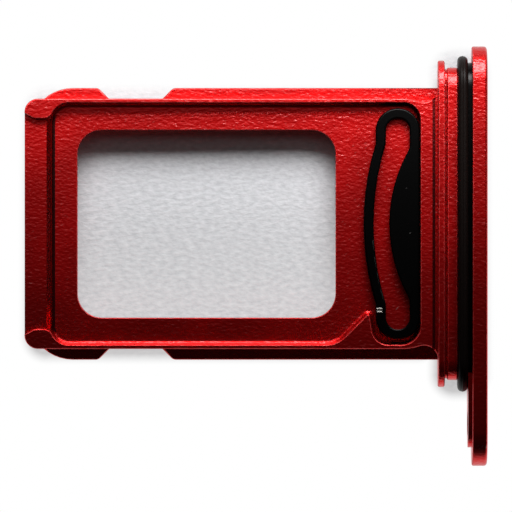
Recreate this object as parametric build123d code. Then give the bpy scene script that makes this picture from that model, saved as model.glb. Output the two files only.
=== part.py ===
from build123d import *
import os

os.makedirs("parts", exist_ok=True)

# Frame: millimetres, +X out through the front plate, +Z up out of the card pocket,
# origin under the middle of the bounding box.

# The card that the tray carries
card_width = 8.80
card_side_clearance = 0.08

# Front plate, the face that shows when the tray is pushed home
overall_length = 17.14
front_length = 15.57
front_height = 2.40
front_thickness = 0.56
front_edge_round = 0.12

# Eject pinhole, through the front plate and the boss behind it
boss_from_end = 0.685
boss_height = 1.60
boss_thickness = 0.15
pin_radius = 0.45
pin_from_end = 1.565

# Neck: flange, collar and core, all stadium shaped
collar_length = 11.60
collar_height = 1.40
collar_thickness = 0.39
flange_proud = 0.26
flange_thickness = 0.25
slit_width = 0.09
core_face_inset = 0.30
core_end_inset = 0.06

# Seal round the core: a lip, and a base against the front plate
seal_width = 0.38
seal_proud = 0.425
seal_edge_round = 0.17
seal_base_proud = 0.18
seal_clearance = 0.02

# Card frame, off the middle of the front plate
tray_offset = 1.20
rim_wall = 0.155
frame_drop = 0.65
frame_tip_round = 0.50
edge_break = 0.045

# Side rails below the rim
rail_proud = 0.41
rail_height = 0.55
rail_slope = 0.41
rail_corner_round = 0.25
lobe_start = 0.69
lobe_rise = 1.08
lobe_flat = 0.95
notch_length = 1.96

# Card pocket
floor_thickness = 0.65
pocket_depth = 0.60
end_bar = 0.95
end_strip = 0.655
tip_corner_radius = 0.70
inner_corner_radius = 0.63
key_corner_radius = 0.72
floor_fillet = 0.17

# Low end bar between two corner lobes
bar_step = 0.30
lobe_width = 0.585
lobe_flare_run = 0.37
lobe_flare_rise = 0.205
bar_bevel_size = 0.14
lobe_inner_round = 0.34
lobe_tip_round = 0.40

# Key that the cut corner of the card meets
key_reach = 1.20
key_back_run = 0.20
key_from_end = 3.09
key_blend = 1.00
key_back_blend = 0.62
key_tip_round = 0.07

# Contact window through the floor
window_from_bar = 0.996
window_from_end = 3.134
window_ledge = 0.993
window_corner_radius = 0.90
window_edge_break = 0.03

# Corner reliefs, which end on the flange, and the root groove beside it
relief_radius = 0.52
relief_off_side = 0.39
relief_blend = 1.90
groove_from_flange = 0.10
groove_width = 0.11
groove_depth = 0.12

# Card retainer
retainer_height = 0.38
retainer_end_clearance = 0.01
retainer_side_clearance = 0.19
retainer_foot_clearance = 0.08
retainer_end_radius = 0.82
retainer_wall = 0.38
bow_from_end = 0.43
bow_depth = 0.455
bow_root = 0.02
kidney_back_depth = 0.76
kidney_back_from_end = 0.665
kidney_back_round = 0.50
retainer_edge_round = 0.07

# Positions and sizes that follow
front_x = overall_length / 2 - front_thickness
boss_x = front_x - boss_thickness
seal_x = boss_x - seal_width
collar_x = seal_x - collar_thickness
flange_x = collar_x - slit_width - flange_thickness
flange_middle = flange_x + flange_thickness / 2
tip_x = -overall_length / 2
middle_z = front_height / 2
underside_z = middle_z - frame_drop
ledge_z = underside_z + rail_height
floor_z = underside_z + floor_thickness
bar_z = floor_z + bar_step
rim_z = floor_z + pocket_depth
pocket_half = card_width / 2 + card_side_clearance
pocket_x = tip_x + end_bar
pocket_end = flange_x - end_strip
frame_half = pocket_half + rim_wall
bar_half = pocket_half - lobe_width
scoop_x = flange_x - relief_radius
window_x = pocket_x + window_from_bar
window_end = pocket_end - window_from_end
window_half = pocket_half - window_ledge
ring_x = pocket_end - retainer_end_clearance - retainer_end_radius
ring_half = pocket_half - retainer_side_clearance - retainer_end_radius
opening_radius = retainer_end_radius - retainer_wall


def between(x0, x1, half_width):
    """Rectangle from x0 to x1, as wide each way from the tray's middle line."""
    return Pos((x0 + x1) / 2, 0) * Rectangle(x1 - x0, 2 * half_width)


def both_sides(sketch):
    """A sketch and its mirror image across the tray's middle line."""
    return sketch + mirror(sketch, Plane.XZ)


def corners(sketch, x, y):
    """The vertices of a sketch at x and at plus or minus y."""
    return [v for v in sketch.vertices() if abs(v.X - x) < 0.02 and abs(abs(v.Y) - y) < 0.02]


def layer(sketch, low, high):
    """A tray sketch made solid between two heights."""
    return extrude(Pos(0, tray_offset, low) * sketch, high - low)


def stadium(x, thickness, length, height, middle_y):
    """A stadium-shaped plate that stands across the tray's long axis."""
    plane = Plane(origin=(x, middle_y, middle_z), x_dir=(0, 1, 0), z_dir=(1, 0, 0))
    return extrude(plane * SlotOverall(length, height), thickness)


def collar_like(x, thickness, proud):
    """A plate of the collar's outline, moved out by so much all round."""
    return stadium(x, thickness, collar_length + 2 * proud, collar_height + 2 * proud, tray_offset)


def outline():
    """The frame above its rails, with the reliefs that turn it out on to the flange."""
    plain = between(tip_x, flange_middle, frame_half)
    plain = fillet(corners(plain, tip_x, frame_half), frame_tip_round)
    webbed = plain + between(scoop_x, flange_middle, frame_half + relief_off_side)
    scoop = Pos(scoop_x, frame_half + relief_off_side) * Circle(relief_radius)
    reach = (relief_radius**2 - relief_off_side**2) ** 0.5
    return fillet(corners(webbed - both_sides(scoop), scoop_x - reach, frame_half), relief_blend)


def rails():
    """The low rails: a lobe near the tip, a notch, then a rail to the flange."""
    root = pocket_half
    top = frame_half + rail_proud
    x0 = tip_x + lobe_start
    x1 = x0 + lobe_rise
    x2 = x1 + lobe_flat
    x3 = x2 + rail_slope
    x4 = x3 + notch_length
    x5 = x4 + rail_slope
    rise = TangentArc((x1, top), (x0, frame_half), tangent=(-1, 0))
    fall = Polyline((x1, top), (x2, top), (x3, frame_half), (x3, root), (x0, root), (x0, frame_half))
    lobe = fillet(corners(make_face([rise, fall]), x2, top), rail_corner_round)
    run = [(x4, frame_half), (x5, top), (flange_middle, top), (flange_middle, root), (x4, root)]
    rail = fillet(corners(make_face(Polyline(run, close=True)), x5, top), rail_corner_round)
    return both_sides(lobe + rail)


def pocket():
    """The card pocket with its key for the cut corner."""
    plain = between(pocket_x, pocket_end, pocket_half)
    plain = fillet(corners(plain, pocket_x, pocket_half), tip_corner_radius)
    upper = max(corners(plain, pocket_end, pocket_half), key=lambda vertex: vertex.Y)
    plain = fillet(upper, inner_corner_radius)
    plain = fillet(corners(plain, pocket_end, pocket_half), key_corner_radius)
    start = pocket_end - key_from_end
    tip = start + key_reach
    wall = -pocket_half
    foot = wall - rim_wall
    back = tip + key_back_run * key_reach / (key_reach + rim_wall)
    points = [(start - rim_wall, foot), (tip, wall + key_reach), (tip + key_back_run, foot)]
    keyed = plain - make_face(Polyline(points, close=True))
    keyed = fillet(corners(keyed, start, pocket_half), key_blend)
    keyed = fillet(corners(keyed, back, pocket_half), key_back_blend)
    return fillet(corners(keyed, tip, pocket_half - key_reach), key_tip_round)


def window():
    """The opening in the floor for the card's contacts."""
    plain = between(window_x, window_end, window_half)
    return fillet(plain.vertices(), window_corner_radius)


def bar_opening():
    """What is taken off the rim over the end bar, flared at the tip."""
    flare_half = bar_half + lobe_flare_rise
    inner = (pocket_x + tip_corner_radius / 2, bar_half)
    side = [(tip_x - end_bar, flare_half), (tip_x, flare_half), (tip_x + lobe_flare_run, bar_half), inner]
    return make_face(Polyline(side + [(x, -y) for x, y in reversed(side)], close=True))


def lobed(full, hollow):
    """The rim at full height, open over the end bar, with rounded corner lobes."""
    rim = full - hollow - bar_opening()
    rim = fillet(corners(rim, tip_x + lobe_flare_run, bar_half), lobe_tip_round)
    at_bar = [v for v in rim.vertices() if abs(abs(v.Y) - bar_half) < 1e-4]
    inner = [v for v in at_bar if abs(v.X - pocket_x) < tip_corner_radius / 2]
    return fillet(inner, lobe_inner_round)


def frame_layers():
    """The card frame as four layers: rails, floor, bar height and rim."""
    full = outline()
    hollow = pocket()
    through = window()
    frame = layer(full + rails() - through, underside_z, ledge_z)
    frame += layer(full - through, ledge_z, floor_z)
    frame += layer(full - hollow, floor_z, bar_z)
    return frame + layer(lobed(full, hollow), bar_z, rim_z)


def at_height(solid, z):
    """The edges of a solid that lie flat at one height."""
    boxes = [(edge, edge.bounding_box()) for edge in solid.edges()]
    return [edge for edge, box in boxes if abs(box.min.Z - z) < 1e-4 and abs(box.max.Z - z) < 1e-4]


def in_window(edge):
    """Whether an edge belongs to the contact window."""
    centre = edge.center()
    inside_x = window_x - 0.01 < centre.X < window_end + 0.01
    return inside_x and abs(centre.Y - tray_offset) < window_half + 0.01


def on_rail_side(edge):
    """Whether an edge runs along the outside of a rail, short of the reliefs."""
    centre = edge.center()
    return abs(centre.Y - tray_offset) > frame_half + 0.02 and centre.X < scoop_x


def softened(frame):
    """The frame with its floor fillet, and its rim, rail and window edges broken."""
    frame = fillet([edge for edge in at_height(frame, floor_z) if not in_window(edge)], floor_fillet)
    frame = chamfer(at_height(frame, rim_z), edge_break)
    frame = chamfer([edge for edge in at_height(frame, ledge_z) if on_rail_side(edge)], edge_break)
    return chamfer([edge for edge in at_height(frame, floor_z) if in_window(edge)], window_edge_break)


def bevel(x, z, size, side, half_length):
    """What a 45 degree bevel takes off an edge across the tray, from above (side 1) or below (side -1)."""
    plane = Plane(origin=(x, tray_offset + half_length, z), x_dir=(1, 0, 0), z_dir=(0, -1, 0))
    over = size / 2
    points = [(-size - over, side * over), (over, side * over), (over, -side * (size + over))]
    return extrude(plane * make_face(Polyline(points, close=True)), 2 * half_length)


def root_groove():
    """The narrow groove across the frame close to the flange."""
    groove_end = flange_x - groove_from_flange
    strip = between(groove_end - groove_width, groove_end, frame_half)
    return layer(strip, rim_z - groove_depth, rim_z + groove_depth)


def broken(plate):
    """A plate with the edges of both its faces broken."""
    faces = plate.faces().filter_by(Axis.X)
    return chamfer([edge for face in faces for edge in face.edges()], edge_break)


def core(x):
    """The inside of the neck, from x to the front plate."""
    length = collar_length - 2 * core_end_inset
    return stadium(x, front_x - x, length, collar_height - 2 * core_face_inset, tray_offset)


def neck():
    """The core with its flange and collar."""
    flange = broken(collar_like(flange_x, flange_thickness, flange_proud))
    collar = broken(collar_like(collar_x, collar_thickness, 0))
    return core(flange_x) + flange + collar


def front():
    """The front plate and the boss beside its seal, with the eject pinhole."""
    plate = stadium(front_x, front_thickness, front_length, front_height, 0)
    plate = fillet(plate.faces().sort_by(Axis.X)[-1].edges(), front_edge_round)
    plate = chamfer(plate.faces().sort_by(Axis.X)[0].edges(), edge_break)
    boss = stadium(boss_x, boss_thickness, front_length - 2 * boss_from_end, boss_height, 0)
    boss -= collar_like(boss_x, boss_thickness, seal_base_proud + seal_clearance)
    pin_y = pin_from_end - front_length / 2
    pin = Plane(origin=(boss_x, pin_y, middle_z), x_dir=(0, 1, 0), z_dir=(1, 0, 0)) * Circle(pin_radius)
    return plate + boss - extrude(pin, front_thickness + boss_thickness)


def tray_body():
    """The one machined piece: frame, neck and front plate."""
    frame = softened(frame_layers()) - root_groove()
    frame -= bevel(pocket_x, bar_z, bar_bevel_size, 1, bar_half)
    return frame + neck() + front()


def bow(chord_x, half_chord, depth):
    """The sliver between a chord across the tray and its arc towards the tip."""
    top = (chord_x, half_chord)
    low = (chord_x, -half_chord)
    return make_face([ThreePointArc(top, (chord_x - depth, 0), low), Line(low, top)])


def capsule(radius):
    """A stadium across the tray about the retainer's end centres."""
    return Pos(ring_x, 0) * Rot(0, 0, 90) * SlotCenterToCenter(2 * ring_half, 2 * radius)


def bowed_capsule(radius):
    """That stadium with its side towards the tip bowed out."""
    return capsule(radius) + bow(ring_x - radius + bow_root, ring_half - bow_from_end, bow_depth + bow_root)


def card_retainer():
    """The moulded ring: a stadium with a bowed side and a kidney-shaped opening."""
    back_half = ring_half - kidney_back_from_end
    side = ring_x + opening_radius
    kidney = bowed_capsule(opening_radius) - bow(side, back_half, kidney_back_depth)
    kidney = fillet(corners(kidney, side, back_half), kidney_back_round)
    ring = layer(bowed_capsule(retainer_end_radius) - kidney, floor_z, floor_z + retainer_height)
    ring = fillet(at_height(ring, floor_z + retainer_height), retainer_edge_round)
    foot = floor_fillet + retainer_foot_clearance
    return ring - bevel(ring_x + retainer_end_radius, floor_z, foot, -1, ring_half + retainer_end_radius)


def seal_ring():
    """The seal: a stadium ring on the core, with a rounded lip and a lower base."""
    lip = collar_like(seal_x, seal_width, seal_proud)
    rims = [edge for face in lip.faces().filter_by(Axis.X) for edge in face.edges()]
    base = collar_like(boss_x, boss_thickness, seal_base_proud)
    return fillet(rims, seal_edge_round) + base - core(seal_x)


export_step(tray_body(), "parts/tray_body.step")
export_step(card_retainer(), "parts/card_retainer.step")
export_step(seal_ring(), "parts/seal_ring.step")
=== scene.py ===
# %% [markdown]
# # A sim card tray
# The real object is a flat tray milled from aluminium, bead-blasted and dyed red, with a black moulded
# card retainer in its pocket and a black rubber seal round its neck. It lies on pale paper and is seen
# from above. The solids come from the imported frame. This lesson adds the camera, the light, the finishes
# and the fine forms.

import bpy
import numpy as np
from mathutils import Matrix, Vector


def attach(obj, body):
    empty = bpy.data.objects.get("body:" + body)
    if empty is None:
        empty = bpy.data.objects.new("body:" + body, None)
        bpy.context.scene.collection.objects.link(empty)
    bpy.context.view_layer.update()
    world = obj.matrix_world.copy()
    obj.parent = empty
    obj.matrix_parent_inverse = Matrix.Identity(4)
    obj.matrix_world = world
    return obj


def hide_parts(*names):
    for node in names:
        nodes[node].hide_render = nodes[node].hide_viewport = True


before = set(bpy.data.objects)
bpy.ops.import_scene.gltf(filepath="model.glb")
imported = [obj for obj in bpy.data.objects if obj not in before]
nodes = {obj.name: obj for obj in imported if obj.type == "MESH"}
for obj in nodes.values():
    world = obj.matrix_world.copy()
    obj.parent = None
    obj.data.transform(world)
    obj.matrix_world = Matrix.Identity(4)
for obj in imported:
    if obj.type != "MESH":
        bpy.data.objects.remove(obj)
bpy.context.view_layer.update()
scene = bpy.context.scene
scene.view_settings.view_transform = "Standard"
MM = 0.001
print("nodes:", sorted(nodes))

# %% [markdown]
# ## Camera
# The photograph looks straight down at the tray. A close lens would show the inside of the pocket walls,
# and a far one keeps them upright and the picture true to scale, so a long lens is set high above the
# rim.

# %% Camera
VIEW_WIDTH = 18.96 * MM
RIM_HEIGHT = 1.80 * MM
CAMERA_HEIGHT = 250 * MM
PICTURE_MIDDLE = (0.006 * MM, 0.006 * MM)
PICTURE_PIXELS = 512
camera_data = bpy.data.cameras.new("camera")
camera_data.sensor_width = 36
camera_data.lens = camera_data.sensor_width * CAMERA_HEIGHT / VIEW_WIDTH
camera_data.clip_start = 5 * MM
camera_data.clip_end = 5
camera = bpy.data.objects.new("camera", camera_data)
camera.location = (*PICTURE_MIDDLE, RIM_HEIGHT + CAMERA_HEIGHT)
scene.collection.objects.link(camera)
scene.camera = camera
print("lens", round(camera_data.lens), "mm, pixel", round(VIEW_WIDTH / PICTURE_PIXELS * 1e6), "micrometres")

# %% [markdown]
# ## Nodes for the finishes
# Every finish below is a small network of shader nodes. Writing each node as one call keeps a network
# readable: the call names the node, its options, and what goes into it, which is a number, a colour or
# another node's output.


# %% Helpers for shader nodes
MIX_FIRST, MIX_SECOND, MIX_RESULT = 6, 7, 2


def add_node(tree, kind, options=(), **inputs):
    """One shader node, with its options set and its inputs filled or linked.
    In the name of an input, an underscore stands for a space."""
    node = tree.nodes.new("ShaderNode" + kind)
    for option, value in dict(options).items():
        setattr(node, option, value)
    for name, value in inputs.items():
        fill(tree, node.inputs[name.replace("_", " ")], value)
    return node


def fill(tree, socket, value):
    """Links a socket to another node's output, or sets it to a plain value."""
    if isinstance(value, bpy.types.NodeSocket):
        tree.links.new(value, socket)
    else:
        socket.default_value = value


def calculate(tree, operation, *values):
    """A Math node: the operation on one, two or three numbers."""
    node = add_node(tree, "Math", {"operation": operation})
    for socket, value in zip(node.inputs, values):
        fill(tree, socket, value)
    return node.outputs["Value"]


def calculate_vector(tree, operation, *values):
    """A Vector Math node: the operation on one or two vectors."""
    node = add_node(tree, "VectorMath", {"operation": operation})
    for socket, value in zip(node.inputs, values):
        fill(tree, socket, value)
    return node.outputs["Value" if operation == "LENGTH" else "Vector"]


def ramp(tree, value, low, high, start=0.0, end=1.0):
    """The value stretched so that low gives start and high gives end, held there outside that range."""
    node = add_node(tree, "MapRange", {"interpolation_type": "SMOOTHSTEP"}, Value=value)
    for name, number in {"From Min": low, "From Max": high, "To Min": start, "To Max": end}.items():
        node.inputs[name].default_value = number
    return node.outputs["Result"]


def blend_colours(tree, share, first, second):
    """The first colour where share is 0, the second where it is 1.
    The Mix node has sockets for each kind of data under the same names, so those for colour go by number."""
    node = add_node(tree, "Mix", {"data_type": "RGBA"})
    fill(tree, node.inputs["Factor"], share)
    fill(tree, node.inputs[MIX_FIRST], first)
    fill(tree, node.inputs[MIX_SECOND], second)
    return node.outputs[MIX_RESULT]


def new_finish(name):
    """An empty material: its tree, its main shader and the place of each point on the object, in metres."""
    material = bpy.data.materials.new(name)
    material.use_nodes = True
    tree = material.node_tree
    shader = tree.nodes["Principled BSDF"]
    place = add_node(tree, "TexCoord").outputs["Object"]
    return material, tree, shader, place


# %% [markdown]
# ## Paper
# The tray lies on plain pale paper, which shows through the window with the tray's shadow along its far
# side. Outside, the photograph's ground is white. A lamp bright enough to whiten the paper would burn out
# the tray, so the paper shines by itself for the camera and for reflections, and only away from the tray,
# where no shadow falls.


# %% Paper finish
ANY_HEIGHT = 1
FRAME_MIDDLE = (-0.9 * MM, 1.2 * MM, 0)
FRAME_HALF = (6.9 * MM, 4.2 * MM, ANY_HEIGHT)
NECK_MIDDLE = (7.6 * MM, 1.2 * MM, 0)
NECK_HALF = (0.2 * MM, 5.6 * MM, ANY_HEIGHT)
GLOW_RUN = 1.1 * MM
EVENED_FROM, EVENED_TO, EVENED_SHARE = 4.4 * MM, -2.6 * MM, 0.62
FIBRE_TURN, FIBRE_DRAWN, FIBRE_SCALE = (0, 0, -0.25), (0.55, 1, 1), 7.0 / MM
FIBRE_HEIGHT = 0.03 * MM
PAPER_DARK, PAPER_PALE = (0.28, 0.284, 0.295, 1), (0.475, 0.479, 0.497, 1)
LIT_DARK, WHITE = (0.60, 0.61, 0.635, 1), (1, 1, 1, 1)


def away_from(tree, place, middle, half):
    """How far each point lies outside a box: the length of what its offset has beyond the half sides."""
    offset = calculate_vector(tree, "ABSOLUTE", calculate_vector(tree, "SUBTRACT", place, middle))
    beyond = calculate_vector(tree, "MAXIMUM", calculate_vector(tree, "SUBTRACT", offset, half), (0, 0, 0))
    return calculate_vector(tree, "LENGTH", beyond)


def paper_finish():
    """Pale paper: drawn-out noise as height and tone, and a glow that grows away from the tray.
    Inside the window a part of the glow evens out the lamp, which reaches the near side less."""
    material, tree, shader, place = new_finish("paper")
    laid = add_node(tree, "Mapping", Vector=place, Rotation=FIBRE_TURN, Scale=FIBRE_DRAWN).outputs["Vector"]
    fibre = add_node(tree, "TexNoise", Vector=laid, Scale=FIBRE_SCALE, Detail=2.0, Roughness=0.5)
    relief = add_node(tree, "Bump", Height=fibre.outputs["Fac"], Strength=0.8, Distance=FIBRE_HEIGHT)
    tone = blend_colours(tree, fibre.outputs["Fac"], PAPER_DARK, PAPER_PALE)
    fill(tree, shader.inputs["Base Color"], tone)
    fill(tree, shader.inputs["Normal"], relief.outputs["Normal"])
    shader.inputs["Roughness"].default_value = 0.95
    shader.inputs["Specular IOR Level"].default_value = 0.1
    from_frame = away_from(tree, place, FRAME_MIDDLE, FRAME_HALF)
    away = calculate(tree, "MINIMUM", from_frame, away_from(tree, place, NECK_MIDDLE, NECK_HALF))
    outside = ramp(tree, away, 0, GLOW_RUN)
    depth = add_node(tree, "SeparateXYZ", Vector=place).outputs["Y"]
    evened = ramp(tree, depth, EVENED_FROM, EVENED_TO, 0, EVENED_SHARE)
    ray = add_node(tree, "LightPath").outputs
    mirrored = calculate(tree, "MAXIMUM", ray["Is Glossy Ray"], ray["Is Transmission Ray"])
    seen = calculate(tree, "MAXIMUM", ray["Is Camera Ray"], mirrored)
    share = calculate(tree, "MULTIPLY", seen, calculate(tree, "MAXIMUM", outside, evened))
    lit = blend_colours(tree, fibre.outputs["Fac"], LIT_DARK, WHITE)
    glow = add_node(tree, "Emission", Color=blend_colours(tree, outside, lit, WHITE))
    mixed = add_node(tree, "MixShader", Fac=share)
    tree.links.new(shader.outputs["BSDF"], mixed.inputs[1])
    tree.links.new(glow.outputs["Emission"], mixed.inputs[2])
    tree.links.new(mixed.outputs["Shader"], tree.nodes["Material Output"].inputs["Surface"])
    return material


# %% Paper floor
FLOOR_HALF = 0.5
floor_mesh = bpy.data.meshes.new("floor")
floor_corners = [(-FLOOR_HALF, -FLOOR_HALF, 0), (FLOOR_HALF, -FLOOR_HALF, 0), (FLOOR_HALF, FLOOR_HALF, 0)]
floor_mesh.from_pydata([*floor_corners, (-FLOOR_HALF, FLOOR_HALF, 0)], [], [(0, 1, 2, 3)])
floor_mesh.materials.append(paper_finish())
floor = bpy.data.objects.new("floor", floor_mesh)
scene.collection.objects.link(floor)
print("floor", 2 * FLOOR_HALF, "m square")

# %% [markdown]
# ## Light
# The photograph has one soft source beyond the tray's long side, low enough for a broad shadow in the
# window. The red is brightest nearest to it and falls off quickly, so the lamp is a strip that stands
# close, and its beam is narrowed and aimed at the far rail. A weak lamp higher up lights the outer half
# of each shadow, which the photograph shows as a second, paler step, and a little grey from the sky keeps
# the rest open.

# %% Light
AIM = Vector((0, 5.0, 1.2)) * MM
SKY_GREY = (0.012, 0.012, 0.012, 1)


def soft_box(name, place, width, height, spread, watts):
    """A rectangular lamp turned to the tray's far rail.
    Its place and size are in millimetres, and its beam is so many degrees wide."""
    lamp = bpy.data.lights.new(name, "AREA")
    lamp.shape = "RECTANGLE"
    lamp.size = width * MM
    lamp.size_y = height * MM
    lamp.spread = np.radians(spread)
    lamp.energy = watts
    holder = bpy.data.objects.new(name, lamp)
    holder.location = Vector(place) * MM
    holder.rotation_euler = (AIM - holder.location).to_track_quat("-Z", "Y").to_euler()
    scene.collection.objects.link(holder)
    print(name, watts, "W", round((AIM - holder.location).length / MM), "mm away")


world = bpy.data.worlds.new("world")
scene.world = world
world.use_nodes = True
world.node_tree.nodes["Background"].inputs["Color"].default_value = SKY_GREY
soft_box("key", place=(0.8, 12.8, 8.6), width=30, height=6, spread=64, watts=0.00232)
soft_box("high", place=(0, 9.5, 19), width=30, height=5, spread=120, watts=0.000136)

# %% [markdown]
# ## From the frame's mesh to arrays
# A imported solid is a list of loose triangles, each with the true normals of the surface it was cut from.
# Numpy reads them as two blocks, points and normals, three corners to a face, and everything after works
# on whole blocks.


# %% Arrays from a mesh
def corner_arrays(mesh):
    """A triangle mesh as arrays: each corner's point and each corner's normal, three corners to a face."""
    points = np.empty((len(mesh.vertices), 3))
    mesh.vertices.foreach_get("co", points.ravel())
    used = np.empty(len(mesh.loops), int)
    mesh.loops.foreach_get("vertex_index", used)
    normals = np.empty((len(mesh.loops), 3))
    mesh.corner_normals.foreach_get("vector", normals.ravel())
    return points[used].reshape(-1, 3, 3), normals.reshape(-1, 3, 3)


# %% [markdown]
# ## Edges that catch the light
# Every edge of the real tray is broken by a fine rounding, and the photograph shows it as a bright line.
# The solid has a flat 45 degree break there. A Bevel modifier would need a clean mesh. Turning the
# normals of the break's corners to those of its neighbours makes light run over it as over a rounding,
# and costs no faces.

# %% Edge breaks
HALF_RIGHT = np.sqrt(0.5)
BREAK_SIZE = 0.05 * MM
LEAN_MARGIN = 0.02
SOME_LENGTH = 0.1
NOT_ZERO = 1e-9
STEP_LOW = np.array((-7.80, -2.80, 1.19)) * MM
STEP_HIGH = np.array((-7.40, 5.20, 1.51)) * MM
GROOVE_LOW = np.array((6.535, -4.5, 1.60)) * MM
GROOVE_HIGH = np.array((6.655, 6.9, 1.795)) * MM
GROOVE_GLOSS = 0.65
SAME_PLACE = 1e-8


def edge_breaks(points, normals):
    """The faces of fine 45 degree edge breaks.
    All three corner normals lean half way from the X or the Z axis,
    and the face is narrow along one of the two."""
    lean = np.abs(np.abs(normals[:, :, [0, 2]]) - HALF_RIGHT) < LEAN_MARGIN
    narrow = np.ptp(points[:, :, [0, 2]], axis=1).min(axis=1) < BREAK_SIZE
    return lean.all(axis=1).any(axis=1) & narrow


def cut_faces(points, normals):
    """How freshly each face is cut after the blasting: most of all on the bar's step, less on the groove.
    Each is the faces whose middle lies in a box, and the step's also lean towards the front plate."""
    middle = points.mean(axis=1)
    forward = normals.mean(axis=1)[:, 0] > LEAN_MARGIN
    step = ((middle > STEP_LOW) & (middle < STEP_HIGH)).all(axis=1) & forward
    groove = ((middle > GROOVE_LOW) & (middle < GROOVE_HIGH)).all(axis=1)
    return np.maximum(step, GROOVE_GLOSS * groove)


def turned_normals(places, normals, breaks):
    """Corner normals that turn evenly over each edge break.
    A corner of a break takes the mean normal of the other faces at its place, where there are any."""
    total = np.zeros((places.max() + 1, 3))
    np.add.at(total, places[~breaks].ravel(), normals[~breaks].reshape(-1, 3))
    length = np.linalg.norm(total, axis=1, keepdims=True)
    mean = total / np.maximum(length, NOT_ZERO)
    turned = normals.copy()
    found = length[places[breaks]] > SOME_LENGTH
    turned[breaks] = np.where(found, mean[places[breaks]], normals[breaks])
    return turned


def set_in_scene(name, mesh, finish, node, stands_for_it=True):
    """Puts a mesh into the scene as a piece that stands for a CAD node, or that only stands on it."""
    mesh.materials.append(finish)
    piece = bpy.data.objects.new(name, mesh)
    scene.collection.objects.link(piece)
    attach(piece, "root")
    if stands_for_it:
        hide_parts(node)
    print(name, len(mesh.vertices), "points", len(mesh.polygons), "faces")


def smooth_copy(node, name, finish):
    """A copy of a CAD node with its loose triangles joined and light running smoothly over its edge breaks.
    The attribute edge_break is 1 on the breaks, and bright_cut says how freshly each face is cut."""
    points, normals = corner_arrays(nodes[node].data)
    cells = np.round(points.reshape(-1, 3) / SAME_PLACE).astype(np.int64)
    _, first, places = np.unique(cells, axis=0, return_index=True, return_inverse=True)
    faces = places.reshape(-1, 3)
    breaks = edge_breaks(points, normals)
    mesh = bpy.data.meshes.new(name)
    mesh.from_pydata(points.reshape(-1, 3)[first], [], faces)
    mesh.shade_smooth()
    mesh.normals_split_custom_set(turned_normals(faces, normals, breaks).reshape(-1, 3))
    for attribute, chosen in {"edge_break": breaks, "bright_cut": cut_faces(points, normals)}.items():
        marked = mesh.attributes.new(attribute, "FLOAT", "CORNER")
        marked.data.foreach_set("value", np.repeat(chosen.astype(np.float32), 3))
        print(attribute, np.count_nonzero(chosen), "faces")
    set_in_scene(name, mesh, finish, node)


# %% [markdown]
# ## Red anodised aluminium
# Blasting leaves a fine even grain, and anodising grows a clear hard skin over the dyed metal. A plain
# red plastic would lose the depth: here the metal itself is tinted red, and a clear coat gives the pale
# glints. The grain is noise as height. Short pale flecks, all leaning one way, are painted into the dye.
# The edges are painted paler, partly as wear of the dye and partly as a painted highlight on their glints.


# %% Flecks
AS_TEXTURE = {"vector_type": "TEXTURE"}


def flecks(tree, place, lean, along, across, reach, share):
    """Short flecks: points near the middle of stretched Voronoi cells, kept in a share of the cells."""
    size = (along, across, across)
    turn = (0, 0, lean)
    turned = add_node(tree, "Mapping", AS_TEXTURE, Vector=place, Rotation=turn, Scale=size)
    cells = add_node(tree, "TexVoronoi", Vector=turned.outputs["Vector"], Scale=1.0)
    near = ramp(tree, cells.outputs["Distance"], reach, 0.4 * reach)
    chance = add_node(tree, "SeparateColor", Color=cells.outputs["Color"]).outputs["Red"]
    return calculate(tree, "MULTIPLY", near, calculate(tree, "LESS_THAN", chance, share))


# %% Nicks and a painted highlight
NICK_DEPTH = 0.5 * MM
NICKS_AND_HIGHLIGHT = (
    (5.243, -1.937, 1.20, 0.82, 0.110, 0.026),
    (8.220, -7.009, 2.28, 0.70, 0.050, 0.030),
    (8.276, -7.106, 2.26, 0.60, 0.060, 0.026),
    (8.380, -7.020, 2.28, 0.80, 0.080, 0.024),
    # Painted highlight: this last, rounder mark is a bright spot on the front plate's lower corner.
    (8.502, -7.046, 2.28, 1.57, 0.090, 0.050),
)


def ellipse_mark(tree, place, x, y, z, lean, half_length, half_width):
    """One mark: an ellipse about a place, turned by lean, 1 along its middle and 0 outside.
    Its place and half sizes are in millimetres."""
    middle, turn = (x * MM, y * MM, z * MM), (0, 0, lean)
    size = (half_length * MM, half_width * MM, NICK_DEPTH)
    turned = add_node(tree, "Mapping", AS_TEXTURE, Vector=place, Location=middle, Rotation=turn, Scale=size)
    return ramp(tree, calculate_vector(tree, "LENGTH", turned.outputs["Vector"]), 1.0, 0.3)


# %% Red finish
GRAIN_TILT, GRAIN_DRAWN = (0.62, 0.47, 0.35), (0.65, 1, 1)
GRAIN_SCALE, PIT_SCALE, CLOUD_SCALE = 9.4 / MM, 16 / MM, 0.35 / MM
PIT_SHARE = 0.15
METAL_RELIEF, SKIN_RELIEF = 0.0065 * MM, 0.031 * MM
DYE_DARK, DYE_PALE = (0.60, 0.0016, 0.0020, 1), (0.70, 0.0022, 0.0028, 1)
FLECK_TONE, FLECK_STRENGTH = (0.85, 0.35, 0.34, 1), 0.18
NICK_AND_HIGHLIGHT_TONE, NICK_AND_HIGHLIGHT_STRENGTH = (0.85, 0.45, 0.44, 1), 0.5
EDGE_WEAR_AND_HIGHLIGHT_TONE, EDGE_PALE_LEAST, EDGE_PALE_MOST = (0.85, 0.40, 0.39, 1), 0.05, 0.16
CUT_RELIEF, CUT_ROUGHNESS, EDGE_ROUGHNESS = 0.1, 0.35, 1.4
COAT, EDGE_COAT = 0.45, 0.1


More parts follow.
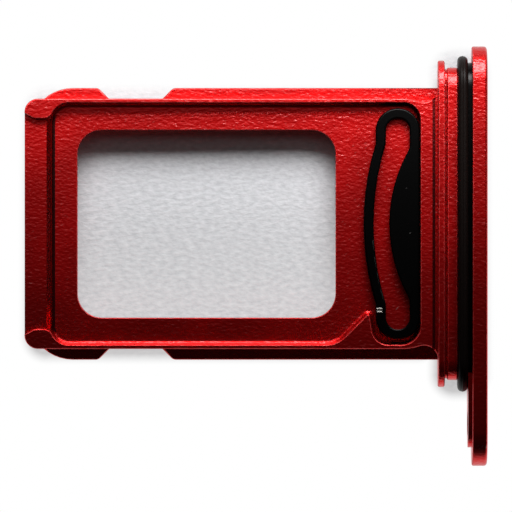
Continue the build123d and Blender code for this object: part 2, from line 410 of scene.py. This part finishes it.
def red_anodised():
    """Tinted metal under a clear skin, with blasted grain, flecks, and edges painted paler as wear and as a
    painted highlight.
    The grain's noise is tilted, so that no level face lies along its lattice and looks smoother."""
    material, tree, shader, place = new_finish("red_anodised")
    tilted = add_node(tree, "Mapping", Vector=place, Rotation=GRAIN_TILT, Scale=GRAIN_DRAWN).outputs["Vector"]
    grain = add_node(tree, "TexNoise", Vector=tilted, Scale=GRAIN_SCALE, Detail=1.0, Roughness=0.5)
    pits = add_node(tree, "TexNoise", Vector=tilted, Scale=PIT_SCALE, Detail=1.0)
    height = calculate(tree, "MULTIPLY_ADD", pits.outputs["Fac"], PIT_SHARE, grain.outputs["Fac"])
    cut = add_node(tree, "Attribute", {"attribute_name": "bright_cut"}).outputs["Fac"]
    depth = ramp(tree, cut, 0, 1, 1.0, CUT_RELIEF)
    relief = add_node(tree, "Bump", Height=height, Strength=depth, Distance=METAL_RELIEF)
    skin_relief = add_node(tree, "Bump", Height=height, Strength=depth, Distance=SKIN_RELIEF)
    cloud = add_node(tree, "TexNoise", Vector=place, Scale=CLOUD_SCALE, Detail=3.0)
    dye = blend_colours(tree, cloud.outputs["Fac"], DYE_DARK, DYE_PALE)
    pale_fleck_mask = flecks(tree, place, lean=0.6, along=0.40 * MM, across=0.13 * MM, reach=0.17, share=0.8)
    # Short pale flecks painted into the dye.
    dye = blend_colours(tree, calculate(tree, "MULTIPLY", pale_fleck_mask, FLECK_STRENGTH), dye, FLECK_TONE)
    scraped_and_highlight = ellipse_mark(tree, place, *NICKS_AND_HIGHLIGHT[0])
    for values in NICKS_AND_HIGHLIGHT[1:]:
        scraped_and_highlight = calculate(tree, "MAXIMUM", scraped_and_highlight, ellipse_mark(tree, place, *values))
    # Scratches, and one painted highlight, in a paler pink.
    dye = blend_colours(tree, calculate(tree, "MULTIPLY", scraped_and_highlight, NICK_AND_HIGHLIGHT_STRENGTH), dye, NICK_AND_HIGHLIGHT_TONE)
    # Painted highlight and wear: the edge breaks get a paler pink, partly as wear of the dye and partly to
    # whiten their glints.
    edge = add_node(tree, "Attribute", {"attribute_name": "edge_break"}).outputs["Fac"]
    edge_wear_and_highlight = ramp(tree, grain.outputs["Fac"], 0.40, 0.62, EDGE_PALE_LEAST, EDGE_PALE_MOST)
    dye = blend_colours(tree, calculate(tree, "MULTIPLY", edge, edge_wear_and_highlight), dye, EDGE_WEAR_AND_HIGHLIGHT_TONE)
    fill(tree, shader.inputs["Base Color"], dye)
    blasted = ramp(tree, cloud.outputs["Fac"], 0.3, 0.7, 0.36, 0.40)
    on_cuts = calculate(tree, "MULTIPLY", blasted, ramp(tree, cut, 0, 1, 1.0, CUT_ROUGHNESS))
    on_edges = ramp(tree, edge, 0, 1, 1.0, EDGE_ROUGHNESS)
    fill(tree, shader.inputs["Roughness"], calculate(tree, "MULTIPLY", on_cuts, on_edges))
    fill(tree, shader.inputs["Coat Weight"], ramp(tree, edge, 0, 1, COAT, EDGE_COAT))
    fill(tree, shader.inputs["Normal"], relief.outputs["Normal"])
    fill(tree, shader.inputs["Coat Normal"], skin_relief.outputs["Normal"])
    shader.inputs["Metallic"].default_value = 1
    shader.inputs["Coat Roughness"].default_value = 0.30
    shader.inputs["Coat IOR"].default_value = 1.5
    return material


smooth_copy("tray_body", "anodised_tray", red_anodised())


# %% [markdown]
# ## Card retainer
# A black plastic ring, moulded with a fine spark-eroded texture, springs against the card. Its top edge
# is rounded and shows as a thin grey line at its upper end. The finish is nearly black, with just enough
# gloss for that line.


# %% Black moulding
def black_moulding():
    """Nearly black plastic: fine noise as height, and a trace of dust in the tone."""
    material, tree, shader, place = new_finish("black_moulding")
    spark = add_node(tree, "TexNoise", Vector=place, Scale=14 / MM, Detail=2.0)
    relief = add_node(tree, "Bump", Height=spark.outputs["Fac"], Strength=0.6, Distance=0.003 * MM)
    tone = blend_colours(tree, spark.outputs["Fac"], (0.0004, 0.0004, 0.0004, 1), (0.0010, 0.0010, 0.0010, 1))
    dust = flecks(tree, place, lean=0.6, along=0.40 * MM, across=0.14 * MM, reach=0.15, share=0.12)
    tone = blend_colours(tree, calculate(tree, "MULTIPLY", dust, 0.08), tone, (0.5, 0.48, 0.46, 1))
    fill(tree, shader.inputs["Base Color"], tone)
    fill(tree, shader.inputs["Normal"], relief.outputs["Normal"])
    shader.inputs["Roughness"].default_value = 0.30
    shader.inputs["Specular IOR Level"].default_value = 0.08
    return material


smooth_copy("card_retainer", "moulded_retainer", black_moulding())


# %% [markdown]
# ## Rubber seal
# A moulded ring sits in the neck, with a rounded lip that seals against the slot and a lower base behind
# it. It is a profile carried along a path: the stadium of the neck. Every ring of points is a stadium
# too, with its own straight length and its own end radius, so the whole surface is one sum of two outer
# products.


# %% Seal rubber
def seal_rubber():
    """Matt black rubber, a little brown, with a soft mottled skin, and smoother on the base, which painted
    shade makes blacker.
    """
    material, tree, shader, place = new_finish("seal_rubber")
    skin = add_node(tree, "TexNoise", Vector=place, Scale=9 / MM, Detail=3.0)
    relief = add_node(tree, "Bump", Height=skin.outputs["Fac"], Strength=0.6, Distance=0.006 * MM)
    tone = blend_colours(tree, skin.outputs["Fac"], (0.0020, 0.0010, 0.0008, 1), (0.0044, 0.0026, 0.0022, 1))
    base = add_node(tree, "Attribute", {"attribute_name": "painted_shade_on_base"}).outputs["Fac"]
    # Painted shade: the base lies in shade between the lip and the front plate, so it is painted nearly
    # black.
    tone = blend_colours(tree, base, tone, (0.0003, 0.0002, 0.0002, 1))
    fill(tree, shader.inputs["Base Color"], tone)
    fill(tree, shader.inputs["Normal"], relief.outputs["Normal"])
    fill(tree, shader.inputs["Roughness"], ramp(tree, base, 0, 1, 0.42, 0.30))
    shader.inputs["Specular IOR Level"].default_value = 0.10
    return material


# %% Faces of a grid
def grid_faces(rings, around, closed):
    """The quads of a grid of rings, each a closed loop. In a closed grid the last ring meets the first."""
    ring = np.arange(rings if closed else rings - 1)[:, None]
    step = np.arange(around)[None, :]
    row, next_row = ring * around, (ring + 1) % rings * around
    beside = (step + 1) % around
    corners = (row + step, next_row + step, next_row + beside, row + beside)
    return np.stack(corners, axis=-1).reshape(-1, 4)


def stadium_path(arc, straight):
    """A path round a stadium: the share of the straight half length and the outward direction at each step.
    The share is 1 round one end, runs to -1 along one side, stays there round the other end and runs back."""
    turn = np.linspace(-0.5, 0.5, arc) * np.pi
    slide = np.linspace(1, -1, straight)[1:-1]
    share = np.concatenate((np.ones(arc), slide, -np.ones(arc), -slide))
    sides = np.full(straight - 2, 0.5 * np.pi)
    angle = np.concatenate((turn, sides, turn + np.pi, sides + np.pi))
    return share, np.cos(angle), np.sin(angle)


# %% Swept seal
NECK_Y, NECK_Z = 1.20, 1.20
LIP_X, LIP_END_X, BASE_END_X = 7.48, 7.86, 8.01
LIP_RADIUS, LIP_ROUND, BASE_RADIUS, BORE_RADIUS = 1.125, 0.17, 0.88, 0.40
OUTER_HALF, BORE_HALF = 5.10, 5.34
SEAM_RISE, SEAM_SHAPE = 0.012, np.array((0.6, 1.0, 0.6))
ROUND_STEPS = 10
SHARP_ANGLE = 0.6


def seal_profile():
    """The seal's section, ring by ring: place along the neck, end radius and straight half length.
    Two quarter circles with a fine moulding seam between them make the lip. The base and the bore follow."""
    turn = np.linspace(0, 0.5, ROUND_STEPS) * np.pi
    lip_in = LIP_X + LIP_ROUND * (1 - np.cos(turn))
    lip_out = LIP_END_X - LIP_ROUND * (1 - np.sin(turn))
    rising = LIP_RADIUS - LIP_ROUND * (1 - np.sin(turn))
    seam = np.linspace(lip_in[-1], lip_out[0], len(SEAM_SHAPE) + 2)[1:-1]
    seam_radius = LIP_RADIUS + SEAM_RISE * SEAM_SHAPE
    along = np.concatenate((lip_in, seam, lip_out, (LIP_END_X, BASE_END_X, BASE_END_X, LIP_X)))
    inner = (BASE_RADIUS, BASE_RADIUS, BORE_RADIUS, BORE_RADIUS)
    radius = np.concatenate((rising, seam_radius, rising[::-1], inner))
    half = np.where(radius > BORE_RADIUS, OUTER_HALF, BORE_HALF)
    return along, radius, half


def swept_seal():
    """The seal as one grid of rings.
    Across the neck: the half length times the path's share, plus the radius times its direction."""
    along, radius, half = seal_profile()
    share, sideways, upward = stadium_path(arc=41, straight=61)
    x = np.broadcast_to(along[:, None], (len(along), len(share)))
    y = NECK_Y + np.outer(half, share) + np.outer(radius, sideways)
    z = NECK_Z + np.outer(radius, upward)
    mesh = bpy.data.meshes.new("rubber_seal")
    faces = grid_faces(len(along), len(share), closed=True)
    mesh.from_pydata(np.stack((x, y, z), axis=-1).reshape(-1, 3) * MM, [], faces)
    mesh.shade_smooth()
    mesh.set_sharp_from_angle(angle=SHARP_ANGLE)
    # The base is marked for the painted shade and the smoother rubber there.
    base = mesh.attributes.new("painted_shade_on_base", "FLOAT", "POINT")
    base.data.foreach_set("value", np.repeat((radius <= BASE_RADIUS).astype(np.float32), len(share)))
    return mesh


set_in_scene("rubber_seal", swept_seal(), seal_rubber(), "seal_ring")


# %% [markdown]
# ## Twin ribs
# Two short ribs stand side by side on the retainer's bowed limb, as a mould leaves them. Their pale grey
# is a painted highlight. Each is a bar that is rounded all over, so one formula gives it: an ellipse that
# keeps its size along the bar and closes at both ends.


# %% Twin ribs
RIB_X, RIB_Z = 4.582, 1.58
RIB_YS = (-1.948, -2.066)
RIB_HALF = (0.112, 0.036, 0.026)
RIB_RINGS, RIB_AROUND = 23, 20


def rib_mesh(name, y):
    """A rounded bar between two poles: ellipses along its length u, from -1 to 1.
    Each is scaled by the square root of 1 less u to the eighth."""
    along = np.linspace(-1, 1, RIB_RINGS + 2)[1:-1]
    turn = np.linspace(0, 2 * np.pi, RIB_AROUND, endpoint=False)
    swell = np.sqrt(1 - along**8)
    across, up = np.outer(swell, np.cos(turn)), np.outer(swell, np.sin(turn))
    body = np.stack((np.broadcast_to(along[:, None], across.shape), across, up), axis=-1).reshape(-1, 3)
    points = np.vstack((body, ((-1, 0, 0), (1, 0, 0)))) * RIB_HALF + (RIB_X, y, RIB_Z)
    first = np.arange(RIB_AROUND)
    last = first + (RIB_RINGS - 1) * RIB_AROUND
    ends = [(a, b, len(body)) for a, b in zip(first, np.roll(first, -1))]
    ends += [(b, a, len(body) + 1) for a, b in zip(last, np.roll(last, -1))]
    faces = grid_faces(RIB_RINGS, RIB_AROUND, closed=False)
    mesh = bpy.data.meshes.new(name)
    mesh.from_pydata(points * MM, [], [*faces.tolist(), *ends])
    mesh.shade_smooth()
    return mesh


# %% Pale ribs in place
def rib_highlight_moulding():
    """The moulding with a painted highlight: a pale grey that mottles, with a faint relief."""
    material, tree, shader, place = new_finish("rib_highlight_moulding")
    mottle = add_node(tree, "TexNoise", Vector=place, Scale=18 / MM, Detail=2.0)
    relief = add_node(tree, "Bump", Height=mottle.outputs["Fac"], Strength=0.5, Distance=0.004 * MM)
    # Painted highlight: the ribs' glint is painted in as a pale grey tone.
    tone = blend_colours(tree, mottle.outputs["Fac"], (0.34, 0.32, 0.29, 1), (0.42, 0.40, 0.365, 1))
    fill(tree, shader.inputs["Base Color"], tone)
    fill(tree, shader.inputs["Normal"], relief.outputs["Normal"])
    shader.inputs["Roughness"].default_value = 0.5
    return material


rib_highlight_finish = rib_highlight_moulding()
for number, rib_y in enumerate(RIB_YS, start=1):
    rib = rib_mesh(f"limb_rib_{number}", rib_y)
    set_in_scene(rib.name, rib, rib_highlight_finish, "card_retainer", stands_for_it=False)
